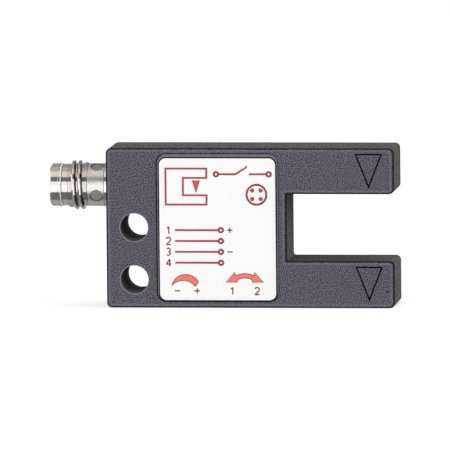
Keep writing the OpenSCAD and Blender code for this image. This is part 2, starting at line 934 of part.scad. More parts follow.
// Chip resistors in a row
module chip_resistors() {
    count = 5;
    pitch = 1.7;
    right = 5.4;
    chip_w = 1.6;
    chip_t = 0.45;
    chip_h = 0.8;
    color("#303030")
        for (k = [0:count - 1])
            on_board(mid_x + right, mid_z + (k - (count - 1) / 2) * pitch, [chip_w, chip_t, chip_h]);
}

// Chip capacitors in a row
module chip_capacitors() {
    count = 4;
    pitch = 2.4;
    drop = 4.6;
    chip_w = 1.25;
    chip_t = 0.8;
    chip_h = 0.9;
    color("tan")
        for (k = [0:count - 1])
            on_board(mid_x + (k - (count - 1) / 2) * pitch, mid_z - drop, [chip_w, chip_t, chip_h]);
}

// Two diodes that protect the supply and the outputs
module protection_diodes() {
    spread = 2.4;
    rise = 5;
    case_w = 2.6;
    case_t = 1.1;
    case_h = 1.5;
    color("#2a2a2a")
        for (k = [-1, 1])
            on_board(mid_x + k * spread, mid_z + rise, [case_w, case_t, case_h]);
}

// A diode under a beam opening: its flat base is at z = 0, its dome points down, and two leads rise
// along the front face of the circuit board
module beam_diode() {
    rim_h = 0.4;
    shoulder = 0.25;
    dome_r = diode_d / 2 - shoulder;
    dome_z = dome_r + shoulder - diode_h;
    lead_out = 0.55;
    lead_over = 1.2;
    lead_l = led_gap + lead_over;
    on_beam() {
        bar_z(diode_d / 2 + diode_rim, -rim_h, 0, $fn = fn_small);
        bar_z(diode_d / 2, dome_z, -rim_h / 2, $fn = fn_small);
        translate([0, 0, dome_z])
            sphere(r = dome_r, $fn = fn_small);
        for (s = [-1, 1])
            block(
                [s * lead_out - lead_w / 2, -board_t / 2 - lead_t, -rim_h / 4],
                [s * lead_out + lead_w / 2, -board_t / 2, lead_l]
            );
    }
}

// Light emitter in the upper prong
module emitter_diode() {
    color("#c04a3a")
        translate([0, 0, room_up_floor + diode_h])
            beam_diode();
}

// Light receiver in the lower prong
module receiver_diode() {
    color("#3b3340")
        translate([0, 0, room_low_top - diode_h])
            mirror([0, 0, 1])
                beam_diode();
}

// A window seated in the wall of a prong, with its nose towards z = 0, the face of the slot
module beam_window() {
    on_beam()
        union() {
            bar_z(beam_d / 2 - fit, window_gap, wall - window_gap, $fn = fn_small);
            bar_z(window_d / 2, window_step, wall, $fn = fn_small);
        }
}

// Window of the emitter, above the slot
module emitter_window() {
    color("#8c2f2f")
        translate([0, 0, slot_z1])
            beam_window();
}

// Window of the receiver, below the slot
module receiver_window() {
    color("#8c2f2f")
        translate([0, 0, slot_z0])
            mirror([0, 0, 1])
                beam_window();
}

// Body of an adjuster, with a bore for its spindle and three leads to the circuit board
module adjuster_body(x) {
    top = pot_z + pot_h;
    on_dial(x)
        difference() {
            union() {
                block([-pot_w / 2, -pot_w / 2, pot_z], [pot_w / 2, pot_w / 2, top]);
                for (k = [-1:1])
                    block(
                        [k * pot_lead_pitch - lead_w / 2, -board_t / 2 - lead_t, top - led_gap],
                        [k * pot_lead_pitch + lead_w / 2, -board_t / 2, board_z0 + pot_lead_l]
                    );
            }
            bar_z(stem_r + dial_fit, pot_z - over, pot_z + stem_l + stem_gap, $fn = fn_small);
        }
}

// Spindle of an adjuster: a slotted head in the wall, a flange behind the wall and a stem
module adjuster_spindle(x) {
    on_dial(x)
        difference() {
            union() {
                bar_z(dial_d / 2, dial_z, flange_z + flange_t / 2, $fn = fn_small);
                bar_z(flange_r, flange_z, flange_z + flange_t, $fn = fn_small);
                bar_z(stem_r, flange_z, pot_z + stem_l, $fn = fn_small);
            }
            translate([0, 0, ring_z])
                rotate_extrude($fn = fn_small)
                    translate([dial_d / 2 - ring_t, -ring_h / 2 - fit])
                        square([dial_d, ring_h + 2 * fit]);
            block(
                [-dial_d, -driver_w / 2, dial_z - over],
                [driver_reach, driver_w / 2, dial_z + driver_depth]
            );
        }
}

// Seal ring round the head of a spindle
module spindle_seal(x) {
    color("#222222")
        on_dial(x)
            translate([0, 0, ring_z])
                seal_ring(dial_d / 2 - ring_t, dial_d / 2, ring_h);
}

// Adjuster of the sensitivity
module sensitivity_trimmer() {
    color("#34507a")
        adjuster_body(dial_x1);
}
module sensitivity_spindle() {
    color("#e8e4da")
        adjuster_spindle(dial_x1);
}
module sensitivity_seal() {
    spindle_seal(dial_x1);
}

// Selector of the output function
module function_switch() {
    color("#34507a")
        adjuster_body(dial_x2);
}
module function_spindle() {
    color("#e8e4da")
        adjuster_spindle(dial_x2);
}
module function_seal() {
    spindle_seal(dial_x2);
}

// Status light on the edge of the circuit board, which shines down into the light pipe
module status_led() {
    led_w = 1.8;
    led_t = 1.1;
    led_h = 1.2;
    dome_r = 0.4;
    color("#d8c24a")
        union() {
            on_board(lens_x, board_z0 + led_h / 2, [led_w, led_t, led_h]);
            translate([lens_x, board_y0 - led_t / 2, board_z0])
                sphere(r = dome_r, $fn = fn_small);
        }
}

// Light pipe: its lens is almost flush with the underside, and its shaft reaches up to the status light
module light_pipe() {
    rim_w = 0.4;
    rim_h = 0.5;
    shaft_in = 0.2;
    air = 0.6;
    color("#d9d4a0")
        on_dial(lens_x)
            union() {
                bar_z(lens_d / 2, z_low + lens_sunk, room_z0 + rim_h / 2, $fn = fn_small);
                bar_z(lens_d / 2 + rim_w, room_z0, room_z0 + rim_h, $fn = fn_small);
                bar_z(lens_d / 2 - shaft_in, room_z0 + rim_h / 2, board_z0 - air, $fn = fn_small);
            }
}

housing();
rear_cover();
label();
label_print();
plug_shell();
contact_carrier();
contact_pin(1);  // contact_pin_1
contact_pin(2);  // contact_pin_2
contact_pin(3);  // contact_pin_3
contact_pin(4);  // contact_pin_4
plug_seal();
main_board();
signal_chip();
output_transistors();
chip_resistors();
chip_capacitors();
protection_diodes();
emitter_diode();
receiver_diode();
emitter_window();
receiver_window();
sensitivity_trimmer();
sensitivity_spindle();
sensitivity_seal();
function_switch();
function_spindle();
function_seal();
status_led();
light_pipe();
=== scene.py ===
"""Looks of the fork light barrier: painted housing, printed label, nickel plug, studio and camera."""

import math

import bpy
from mathutils import Matrix, Vector


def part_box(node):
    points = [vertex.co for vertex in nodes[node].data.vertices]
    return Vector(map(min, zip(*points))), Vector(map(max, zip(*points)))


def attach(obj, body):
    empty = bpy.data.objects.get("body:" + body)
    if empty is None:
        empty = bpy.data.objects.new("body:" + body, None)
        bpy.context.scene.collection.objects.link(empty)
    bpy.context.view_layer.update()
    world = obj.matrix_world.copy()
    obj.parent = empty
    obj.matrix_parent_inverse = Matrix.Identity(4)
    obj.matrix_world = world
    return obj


MM = 0.001

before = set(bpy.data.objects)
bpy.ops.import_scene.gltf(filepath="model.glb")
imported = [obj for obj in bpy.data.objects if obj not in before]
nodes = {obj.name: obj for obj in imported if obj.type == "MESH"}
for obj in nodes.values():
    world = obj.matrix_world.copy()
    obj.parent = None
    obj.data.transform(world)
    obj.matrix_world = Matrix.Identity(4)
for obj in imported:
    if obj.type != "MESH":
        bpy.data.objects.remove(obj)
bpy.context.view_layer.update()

# Places that the frame gives, in metres
label_low, label_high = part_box("label")
housing_low, housing_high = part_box("housing")
y_mid = (housing_low.y + housing_high.y) / 2
plug_axis_z = sum(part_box("contact_carrier"), Vector()).z / 2
sensitivity_x = sum(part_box("sensitivity_spindle"), Vector()).x / 2
function_x = sum(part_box("function_spindle"), Vector()).x / 2


class Graph:
    """Shader nodes of a material or the world, added by short calls. Textures count in millimetres."""

    def __init__(self, owner, output):
        owner.use_nodes = True
        self.owner = owner
        self.tree = owner.node_tree
        self.tree.nodes.clear()
        self.out = self.node(output)
        self._place = None

    def node(self, kind, *inputs, **props):
        """A node with its properties set and its first inputs fed."""
        n = self.tree.nodes.new("ShaderNode" + kind)
        for key, value in props.items():
            setattr(n, key, value)
        for socket, value in zip(n.inputs, inputs):
            self.feed(socket, value)
        return n

    def feed(self, socket, value):
        """Links an input to another node's output, or sets it. Colours come without their alpha."""
        if isinstance(value, bpy.types.NodeSocket):
            self.tree.links.new(value, socket)
        elif socket.type == "RGBA":
            socket.default_value = (*value, 1.0)
        else:
            socket.default_value = value

    def fill(self, node, **values):
        """Feeds inputs by their names, in which underscores stand for spaces."""
        for name, value in values.items():
            self.feed(node.inputs[name.replace("_", " ")], value)
        return node

    def show(self, shader):
        """Ends the graph with a shader and returns what it belongs to."""
        self.tree.links.new(shader.outputs[0], self.out.inputs[0])
        return self.owner

    def surface(self, **values):
        """Ends the graph with a principled surface."""
        return self.show(self.fill(self.node("BsdfPrincipled"), **values))

    def place(self):
        """Object coordinates in millimetres."""
        if self._place is None:
            coord = self.node("TexCoord").outputs["Object"]
            scaled = self.fill(self.node("VectorMath", coord, operation="SCALE"), Scale=1 / MM)
            self._place = scaled.outputs[0]
        return self._place

    def stretched(self, scale):
        """Object coordinates in millimetres, each times its own scale."""
        return self.node("VectorMath", self.place(), scale, operation="MULTIPLY").outputs[0]

    def axes(self):
        return self.node("SeparateXYZ", self.place()).outputs

    def normal(self):
        return self.node("SeparateXYZ", self.node("TexCoord").outputs["Normal"]).outputs

    def math(self, operation, *values, clamp=False):
        return self.node("Math", *values, operation=operation, use_clamp=clamp).outputs[0]

    def minus(self, a, b):
        return self.math("SUBTRACT", a, b)

    def times(self, product, *factors):
        for factor in factors:
            product = self.math("MULTIPLY", product, factor)
        return product

    def length(self, a, b):
        """The long side of a right-angled triangle with the short sides a and b."""
        return self.math("SQRT", self.math("ADD", self.times(a, a), self.times(b, b)))

    def noise(self, scale, detail=2.0, roughness=0.5, vector=None):
        place = self.place() if vector is None else vector
        n = self.node("TexNoise")
        self.fill(n, Vector=place, Scale=scale, Detail=detail, Roughness=roughness)
        return n.outputs["Fac"]

    def step(self, value, zero_at, one_at):
        """0 from zero_at outwards, 1 from one_at outwards, smooth between. Either may be the larger."""
        return self.node("MapRange", value, zero_at, one_at, interpolation_type="SMOOTHSTEP").outputs[0]

    def band(self, value, low, high, soft):
        """1 between low and high, 0 outside."""
        up = self.step(value, low - soft, low + soft)
        down = self.step(value, high - soft, high + soft)
        return self.math("SUBTRACT", up, down, clamp=True)

    def mix(self, share, a, b):
        """Goes from colour a to colour b."""
        n = self.node("Mix", data_type="RGBA")
        for index, value in ((0, share), (6, a), (7, b)):
            self.feed(n.inputs[index], value)
        return n.outputs[2]

    def blend(self, share, a, b):
        """Goes from number a to number b."""
        n = self.node("Mix", data_type="FLOAT")
        for index, value in ((0, share), (2, a), (3, b)):
            self.feed(n.inputs[index], value)
        return n.outputs[0]

    def cover(self, tone, paint, *masks):
        """A tone with a paint over it, as far as all masks are 1. A paint is a colour and its share."""
        colour, share = paint
        return self.mix(self.times(share, *masks), tone, colour)

    def bump(self, height, distance, strength):
        """The normal of a surface with small heights."""
        n = self.node("Bump")
        self.fill(n, Strength=strength, Distance=distance * MM, Height=height)
        return n.outputs[0]

    def rounded_box_distance(self, low, high, radius):
        """Distance outside a rounded rectangle in the plane of the label, negative inside."""
        x, _, z = self.axes()
        over = []
        for axis, start, end in zip((x, z), low, high):
            off_centre = self.math("ABSOLUTE", self.minus(axis, (start + end) / 2))
            over.append(self.minus(off_centre, (end - start) / 2 - radius))
        outer = self.length(*(self.math("MAXIMUM", side, 0.0) for side in over))
        inner = self.math("MINIMUM", self.math("MAXIMUM", *over), 0.0)
        return self.minus(self.math("ADD", outer, inner), radius)


def material_graph(name):
    return Graph(bpy.data.materials.new(name), "OutputMaterial")


# The values of a noise between which its specks go from dark to light
SPECK_STEP = (0.3, 0.7)

# Sizes that the paint of the housing follows, in millimetres. The recess reaches past the label by one
# gap at each side, one above and one below. The pit is near the lower prong's tip, in from the end and
# up from below.
HOLE_PITCH = 8.4
HOLE_R = 2.25
SLOT_X = 24.6
SLOT_Z = (-1.2, 9.6)
CORNER_R = 0.8
OUTLINE_CUT = 0.07
LABEL_R = 1.15
RECESS_R = 1.6
RECESS_GAPS = (0.45, 0.75, 0.2)
PIT_IN = 1.1
PIT_UP = 2.7

# Tones of the black paint. Coarse spots go from the first to the second colour of a pair, and fine
# specks from the first to the second pair.
FACE_TONES = (
    ((0.009, 0.008, 0.010), (0.028, 0.026, 0.033)),
    ((0.147, 0.138, 0.170), (0.216, 0.204, 0.248)),
)
# A warmer copy of the paint for the narrow sides: painted light, for how the light falls on them
SIDE_LIT_TONES = (
    ((0.011, 0.010, 0.010), (0.033, 0.030, 0.031)),
    ((0.152, 0.141, 0.144), (0.218, 0.200, 0.205)),
)
BORE_TONES = ((0.054, 0.053, 0.055), (0.218, 0.215, 0.221))
PAINT_ROUGHNESS = (0.78, 0.66)
COARSE_HEIGHT = 0.6

# Painted highlights and painted shade over those tones, with their shares
GLINT = ((0.28, 0.27, 0.315), 0.22)
FRONT_EDGE_SHADE = ((0.006, 0.005, 0.006), 0.8)
BACK_EDGE_SHADE = ((0.003, 0.003, 0.003), 0.92)
ENGRAVED_SHADE = ((0.003, 0.003, 0.004), 0.95)
PIT_SHADE_SHARE = 0.35
RECESS_FLOOR_HIGHLIGHT = ((0.235, 0.224, 0.256), 0.75)
RECESS_SHADE = (0.004, 0.004, 0.006)
WALL_SHADE_SHARE = 0.9
GAP_SHADE_SHARE = 0.98
HOLE_RIM_HIGHLIGHT = ((0.28, 0.275, 0.305), 0.6)

# Where those colours lie. Two numbers are where a step is 0 and where it is 1, three are a band's ends
# and its softness. Depths start at the label side, insets at the outline. Facing is 1 on the label side
# and 0 on the narrow sides.
GLINT_INSET = (0.28, 0.55, 0.08)
GLINT_DEPTH = (0.1, 0.05)
EDGE_SHADE_INSET = (0.25, 0.11)
FRONT_EDGE_SHADE_DEPTH = (1.3, 0.4)
BACK_EDGE_SHADE_DEPTH = (9.7, 10.4)
SIDE_FACING = (0.5, 0.2)
ENGRAVED_DEPTH = (0.06, 0.3, 0.04)
ENGRAVED_FACING = (0.6, 0.9)
PIT_HALF = (0.5, 0.45)
RECESS_DEPTH = (1.0, 0.6)
STRIP_FROM_WALL = (0.0, -0.1)
STRIP_FROM_LABEL = (0.1, 0.2)
WALL_SHADE = (-0.13, 0.03, 0.04)
GAP_SHADE = (-0.4, 0.14, 0.04)
HOLE_RIM_HIGHLIGHT_REACH = (HOLE_R, HOLE_R + 0.14, 0.03)
HOLE_RIM_HIGHLIGHT_FACING = (0.8, 0.95)
BORE_REACH = (HOLE_R + 0.06, HOLE_R + 0.02)
BORE_FACING = (0.6, 0.4)


def label_corners():
    return (label_low.x / MM, label_low.z / MM), (label_high.x / MM, label_high.z / MM)


def recess_corners():
    (x0, z0), (x1, z1) = label_corners()
    side, above, below = RECESS_GAPS
    return (x0 - side, z0 - below), (x1 + side, z1 + above)


def fork_distance(g):
    """Distance outside the fork's outline, negative inside. All sides but the tops are cut back."""
    left = housing_low.x / MM + OUTLINE_CUT
    right = housing_high.x / MM - OUTLINE_CUT
    bottom = housing_low.z / MM + OUTLINE_CUT
    top = housing_high.z / MM
    body = g.rounded_box_distance((left, bottom), (SLOT_X - OUTLINE_CUT, top), CORNER_R)
    lower_prong = g.rounded_box_distance((left, bottom), (right, SLOT_Z[0]), CORNER_R)
    upper_prong = g.rounded_box_distance((left, SLOT_Z[1] + OUTLINE_CUT), (right, top), CORNER_R)
    return g.math("MINIMUM", g.math("MINIMUM", body, lower_prong), upper_prong)


def edge_lines(g, tone, inset, depth):
    """Painted shade: dark lines along the outline's front and back edges."""
    edge = g.step(inset, *EDGE_SHADE_INSET)
    tone = g.cover(tone, FRONT_EDGE_SHADE, edge, g.step(depth, *FRONT_EDGE_SHADE_DEPTH))
    return g.cover(tone, BACK_EDGE_SHADE, edge, g.step(depth, *BACK_EDGE_SHADE_DEPTH))


def engraving(g, tone, depth, facing):
    """Painted shade on the floors of the triangles' grooves, and a paler painted shade in the pit."""
    x, _, z = g.axes()
    pit_x = g.math("ABSOLUTE", g.minus(x, housing_high.x / MM - PIT_IN))
    pit_z = g.math("ABSOLUTE", g.minus(z, housing_low.z / MM + PIT_UP))
    in_pit = g.step(g.math("MAXIMUM", pit_x, pit_z), *PIT_HALF)
    sunk = g.times(g.band(depth, *ENGRAVED_DEPTH), g.step(facing, *ENGRAVED_FACING))
    return g.cover(tone, ENGRAVED_SHADE, sunk, g.blend(in_pit, 1.0, PIT_SHADE_SHARE))


def recess_lines(g, tone, depth):
    """A painted highlight strip on the floor of the recess, between painted shade at its wall and
    painted shade at the label's edge.
    """
    front = g.step(depth, *RECESS_DEPTH)
    gap = g.rounded_box_distance(*label_corners(), LABEL_R)
    wall = g.rounded_box_distance(*recess_corners(), RECESS_R)
    strip = g.times(g.step(wall, *STRIP_FROM_WALL), g.step(gap, *STRIP_FROM_LABEL))
    tone = g.cover(tone, RECESS_FLOOR_HIGHLIGHT, strip, front)
    wall_shade = g.times(g.band(wall, *WALL_SHADE), WALL_SHADE_SHARE)
    gap_shade = g.times(g.band(gap, *GAP_SHADE), GAP_SHADE_SHARE)
    return g.mix(g.times(g.math("MAXIMUM", wall_shade, gap_shade), front), tone, RECESS_SHADE)


def fixing_holes(g, tone, facing, speck):
    """A painted highlight ring round each fixing hole, and grey walls in it."""
    x, _, z = g.axes()
    reach = g.length(x, g.minus(g.math("ABSOLUTE", z), HOLE_PITCH / 2))
    tone = g.cover(tone, HOLE_RIM_HIGHLIGHT, g.band(reach, *HOLE_RIM_HIGHLIGHT_REACH), g.step(facing, *HOLE_RIM_HIGHLIGHT_FACING))
    bored = g.times(g.step(reach, *BORE_REACH), g.step(facing, *BORE_FACING))
    return g.mix(bored, tone, g.mix(speck, *BORE_TONES))


def housing_paint():
    """Black paint with a fine texture, bluish on the label side. The narrow sides take a warmer copy of
    it, which is painted light for how the light falls on them. Painted highlights and painted shade lie
    along the edges, in the grooves and the recess, and round the holes.
    """
    g = material_graph("housing_paint")
    depth = g.minus(g.axes()[1], housing_low.y / MM)
    facing = g.math("ABSOLUTE", g.normal()[1])
    inset = g.times(fork_distance(g), -1.0)
    coarse = g.noise(scale=2.4, detail=2.0, roughness=0.7)
    fine = g.noise(scale=6.0, detail=1.0)
    speck = g.step(fine, *SPECK_STEP)
    face, side = (
        g.mix(speck, g.mix(coarse, *dark), g.mix(coarse, *light))
        for dark, light in (FACE_TONES, SIDE_LIT_TONES)
    )
    # A painted highlight band just inside the outline, on the label side
    tone = g.cover(face, GLINT, g.band(inset, *GLINT_INSET), g.step(depth, *GLINT_DEPTH))
    # The narrow sides take their warmer copy of the paint, which is painted light
    tone = g.mix(g.step(facing, *SIDE_FACING), tone, side)
    tone = edge_lines(g, tone, inset, depth)
    tone = engraving(g, tone, depth, facing)
    tone = recess_lines(g, tone, depth)
    tone = fixing_holes(g, tone, facing, speck)
    height = g.math("ADD", fine, g.times(coarse, COARSE_HEIGHT))
    return g.surface(
        Base_Color=tone,
        Roughness=g.blend(coarse, *PAINT_ROUGHNESS),
        Specular_IOR_Level=0.0,
        Normal=g.bump(height, distance=0.04, strength=0.6),
    )


# The white film of the label, the dark line along its edge, and the red inks. The print of the two
# adjustment scales, up to SCALES_TOP above the label's lower edge, is salmon.
FILM_TONES = ((0.87, 0.87, 0.87), (0.91, 0.91, 0.905))
FILM_SPECK_STEP = (0.3, 0.75)
FILM_EDGE = ((0.02, 0.018, 0.023), 0.95)
FILM_EDGE_STEP = (-0.10, -0.03)
PLAIN_INK = ((0.46, 0.06, 0.055), (0.60, 0.11, 0.093))
SALMON_INK = ((0.78, 0.155, 0.12), (0.85, 0.21, 0.155))
OUTLINE_INK = ((0.175, 0.013, 0.022), (0.26, 0.033, 0.038))
SCALES_TOP = 5.1
SCALES_SOFT = 0.1
INK_NOISE = 5.0
INK_ROUGHNESS = 0.5


def label_film():
    """White film with a dark line along its edge."""
    g = material_graph("label_film")
    edge = g.step(g.rounded_box_distance(*label_corners(), LABEL_R), *FILM_EDGE_STEP)
    speck = g.noise(scale=9.0)
    tone = g.cover(g.mix(g.step(speck, *FILM_SPECK_STEP), *FILM_TONES), FILM_EDGE, edge)
    normal = g.bump(speck, distance=0.004, strength=0.4)
    return g.surface(Base_Color=tone, Roughness=0.42, Normal=normal)


def label_ink():
    """Red ink, salmon in the two scales."""
    g = material_graph("label_ink")
    top = label_low.z / MM + SCALES_TOP
    scales = g.step(g.axes()[2], top + SCALES_SOFT, top - SCALES_SOFT)
    blot = g.noise(INK_NOISE)
    tone = g.mix(scales, g.mix(blot, *PLAIN_INK), g.mix(blot, *SALMON_INK))
    return g.surface(Base_Color=tone, Roughness=INK_ROUGHNESS)


def outline_ink():
    """Dark red ink."""
    g = material_graph("outline_ink")
    return g.surface(Base_Color=g.mix(g.noise(INK_NOISE), *OUTLINE_INK), Roughness=INK_ROUGHNESS)


# Sizes that the nickel of the plug follows, in millimetres. The foot is the end at the housing, and the
# painted shade lines round the plug, at the lip, the thread's start and the collar's edge, are given by
# their places along it. The dimples' turns are degrees.
COLLAR_X = -7.9
COLLAR_R = 3.47
THREAD_X = (-10.8, -7.95)
THREAD_SOFT = 0.1
CREST_R = 3.975
ROOT_R = 3.42
FOOT_X = -5.12
LIP_X = -12.14
LIP_HALF = 0.1
SHADE_LINES_X = (-11.97, -10.97, -7.88)
LINE_HALF = 0.05
LINE_SOFT = 0.03
DIMPLE_X = -6.34
DIMPLE_R = 1.05
DIMPLE_TURNS = (27, 117, 207, 297)

# Tones of the nickel and the colours over them, with their shares. All but the dimples' tone are
# painted highlights and painted shade.
BRIGHT_TONES = ((0.84, 0.80, 0.76), (0.95, 0.925, 0.90))
SOFT_TONES = ((0.76, 0.725, 0.695), (1.0, 0.985, 0.97))
FOOT_HIGHLIGHT = (0.96, 0.94, 0.92)
DIMPLE = ((0.46, 0.43, 0.445), 0.8)
DIMPLE_RING_SHADE = ((0.06, 0.05, 0.052), 0.75)
THREAD_ROOT_SHADE = ((0.13, 0.075, 0.065), 0.2)
THREAD_FLANK_REFLECTION = ((0.05, 0.03, 0.03), 0.85)
STEP_SHADE_LINE = ((0.10, 0.07, 0.065), 0.7)
LIP_HIGHLIGHT = (0.80, 0.77, 0.74)
LIP_HIGHLIGHT_SHARE = 0.75

# Where those colours lie, as steps and bands
COLLAR_STEP = (COLLAR_X - 0.05, COLLAR_X + 0.05)
DIMPLE_REACH = (COLLAR_R - 0.015, COLLAR_R - 0.05)
DIMPLE_RING_SHADE_REACH = (DIMPLE_R - 0.1, DIMPLE_R + 0.02, 0.04)
DIMPLE_RING_SHADE_SIDE = (0.0, -1.0)
ROOT_REACH = (CREST_R - 0.1, ROOT_R + 0.1)
FLANK_FACING = (0.15, 0.6)
FOOT_STEP = (FOOT_X, FOOT_X + 0.05)

# Roughness of the nickel, by its turning marks where there are two numbers
BRIGHT_ROUGHNESS = (0.07, 0.16)
COLLAR_ROUGHNESS = (0.26, 0.38)
DIMPLE_ROUGHNESS = 0.55
FOOT_ROUGHNESS = 0.12


def dimple_rings(g, x, dy, dz):
    """Painted shade along one side of the dimples' edges round the collar."""
    along = g.minus(x, DIMPLE_X)
    rings = 0.0
    for turn in map(math.radians, DIMPLE_TURNS):
        across = g.minus(g.times(dz, math.cos(turn)), g.times(dy, math.sin(turn)))
        out = g.math("ADD", g.times(dy, math.cos(turn)), g.times(dz, math.sin(turn)))
        ring = g.band(g.length(along, across), *DIMPLE_RING_SHADE_REACH)
        rings = g.math("MAXIMUM", rings, g.times(ring, g.step(out, *DIMPLE_RING_SHADE_SIDE)))
    return rings


def nickel():
    """Turned nickel: bright with fine turning marks, a softer collar and matt dimples in it. Painted
    highlights and painted shade lie at its lip, foot, steps, thread and dimples' edges.
    """
    g = material_graph("nickel")
    x, y, z = g.axes()
    dy = g.minus(y, y_mid / MM)
    dz = g.minus(z, plug_axis_z / MM)
    reach = g.length(dy, dz)
    collar = g.step(x, *COLLAR_STEP)
    dimple = g.times(collar, g.step(reach, *DIMPLE_REACH))
    thread = g.band(x, *THREAD_X, THREAD_SOFT)
    foot = g.step(x, *FOOT_STEP)
    # A painted highlight strip on the lip, white and not metal
    lip = g.times(g.band(x, LIP_X - LIP_HALF, LIP_X + LIP_HALF, LINE_SOFT), LIP_HIGHLIGHT_SHARE)
    turned = g.noise(scale=1.0, detail=3.0, roughness=0.6, vector=g.stretched((9.0, 0.4, 0.4)))
    cloudy = g.noise(scale=1.6, detail=3.0, roughness=0.6)
    grain = g.step(g.noise(scale=5.0, detail=1.0), *SPECK_STEP)
    tone = g.mix(collar, g.mix(cloudy, *BRIGHT_TONES), g.mix(grain, *SOFT_TONES))
    tone = g.cover(tone, DIMPLE, dimple)
    tone = g.cover(tone, DIMPLE_RING_SHADE, dimple_rings(g, x, dy, dz))
    # Painted shade in the thread's roots
    tone = g.cover(tone, THREAD_ROOT_SHADE, g.step(reach, *ROOT_REACH), thread)
    # A painted dark reflection of the housing on the thread's flanks that face it
    tone = g.cover(tone, THREAD_FLANK_REFLECTION, g.step(g.normal()[0], *FLANK_FACING), thread)
    # A painted highlight on the strip at the foot, next to the housing
    tone = g.mix(foot, tone, FOOT_HIGHLIGHT)
    # Painted shade lines at the plug's steps
    for place in SHADE_LINES_X:
        tone = g.cover(tone, STEP_SHADE_LINE, g.band(x, place - LINE_HALF, place + LINE_HALF, LINE_SOFT))
    rough = g.blend(collar, g.blend(turned, *BRIGHT_ROUGHNESS), g.blend(turned, *COLLAR_ROUGHNESS))
    rough = g.blend(dimple, rough, DIMPLE_ROUGHNESS)
    return g.surface(
        Base_Color=g.mix(lip, tone, LIP_HIGHLIGHT),
        Metallic=g.minus(1.0, lip),
        Roughness=g.blend(foot, rough, FOOT_ROUGHNESS),
        Normal=g.bump(turned, distance=0.005, strength=0.5),
    )


# How much smoother the light specks of moulded plastic are, and how much darker resin is in places
SPECK_SHINE = 0.85
RESIN_SHADE = 0.9


def moulded(name, dark, light, roughness, grain=3.0, depth=0.01, specular=0.5):
    """Moulded plastic or rubber: two tones in a fine grain."""
    g = material_graph(name)
    n = g.step(g.noise(grain, detail=3.0, roughness=0.6), *SPECK_STEP)
    return g.surface(
        Base_Color=g.mix(n, dark, light),
        Roughness=g.blend(n, roughness, roughness * SPECK_SHINE),
        Specular_IOR_Level=specular,
        Normal=g.bump(n, depth, strength=0.5),
    )


# The circuit board's and the gold contacts' tones, and what sets off the tracks
BOARD_TONES = ((0.010, 0.11, 0.045), (0.018, 0.15, 0.06))
TRACK_TONE = (0.02, 0.20, 0.08)
TRACK_STEP = (0.52, 0.54)
GOLD_TONES = ((0.83, 0.62, 0.28), (0.9, 0.7, 0.36))
GOLD_ROUGHNESS = (0.2, 0.3)


def circuit_board():
    """Green mask over a weave, with paler tracks."""
    g = material_graph("circuit_board")
    weave = g.noise(scale=4.0, vector=g.stretched((1.0, 1.0, 3.0)))
    track = g.step(g.noise(scale=0.7, detail=1.0), *TRACK_STEP)
    return g.surface(
        Base_Color=g.mix(track, g.mix(weave, *BOARD_TONES), TRACK_TONE),
        Roughness=0.35,
        Normal=g.bump(g.math("ADD", weave, track), distance=0.01, strength=0.4),
    )


def gold():
    """Gold plating."""
    g = material_graph("contact_gold")
    n = g.noise(scale=4.0)
    tone = g.mix(n, *GOLD_TONES)
    return g.surface(Base_Color=tone, Metallic=1.0, Roughness=g.blend(n, *GOLD_ROUGHNESS))


def clear(name, tint, transmission):
    """Clear moulded resin."""
    g = material_graph(name)
    tone = g.mix(g.noise(scale=2.0), tint, tuple(c * RESIN_SHADE for c in tint))
    return g.surface(Base_Color=tone, Roughness=0.12, Transmission_Weight=transmission)


dark_ink = outline_ink()
rubber = moulded("seal_rubber", (0.012, 0.012, 0.012), (0.03, 0.03, 0.03), 0.6)
chips = moulded("chip_black", (0.02, 0.02, 0.022), (0.04, 0.04, 0.042), 0.5)
ivory = moulded("spindle_ivory", (0.62, 0.58, 0.48), (0.72, 0.68, 0.58), 0.4)
blue = moulded("adjuster_blue", (0.02, 0.06, 0.2), (0.04, 0.1, 0.28), 0.35)
windows = clear("window_red", (0.35, 0.02, 0.02), 0.6)
contacts = gold()
cover_plastic = moulded(
    "cover_plastic",
    (0.012, 0.012, 0.014),
    (0.060, 0.058, 0.066),
    roughness=0.6,
    grain=4.5,
    depth=0.03,
    specular=0.3,
)
LOOKS = {
    "housing": housing_paint(),
    "rear_cover": cover_plastic,
    "label": label_film(),
    "label_print": label_ink(),
    "plug_shell": nickel(),
    "contact_carrier": moulded("insulator", (0.010, 0.010, 0.011), (0.022, 0.022, 0.024), 0.45),
    "contact_pin_1": contacts,
    "contact_pin_2": contacts,
    "contact_pin_3": contacts,
    "contact_pin_4": contacts,
    "plug_seal": rubber,
    "sensitivity_seal": rubber,
    "function_seal": rubber,
    "main_board": circuit_board(),
    "signal_chip": chips,
    "output_transistors": chips,
    "chip_resistors": chips,
    "protection_diodes": chips,
    "chip_capacitors": moulded("ceramic_tan", (0.42, 0.3, 0.17), (0.55, 0.42, 0.26), 0.5),
    "emitter_diode": clear("emitter_red", (0.6, 0.06, 0.04), 0.5),
    "receiver_diode": clear("receiver_dark", (0.06, 0.04, 0.07), 0.2),
    "emitter_window": windows,
    "receiver_window": windows,
    "sensitivity_trimmer": blue,
    "function_switch": blue,
    "sensitivity_spindle": ivory,
    "function_spindle": ivory,
    "status_led": moulded("led_yellow", (0.6, 0.45, 0.08), (0.75, 0.6, 0.12), 0.3),
    "light_pipe": clear("light_pipe_clear", (0.86, 0.85, 0.76), 0.6),
}
for node, look in LOOKS.items():
    nodes[node].data.materials.clear()
    nodes[node].data.materials.append(look)

# Mesh work on the CAD nodes, in millimetres and degrees. The domed ones are only welded, which closes
# the tips of their domes.
WELD_REACH = 0.0005
SHARP_ANGLE = 32
SOFTENED = {"housing": 0.05, "label": 0.03, "rear_cover": 0.06}
DOMED = ("emitter_diode", "receiver_diode", "status_led")


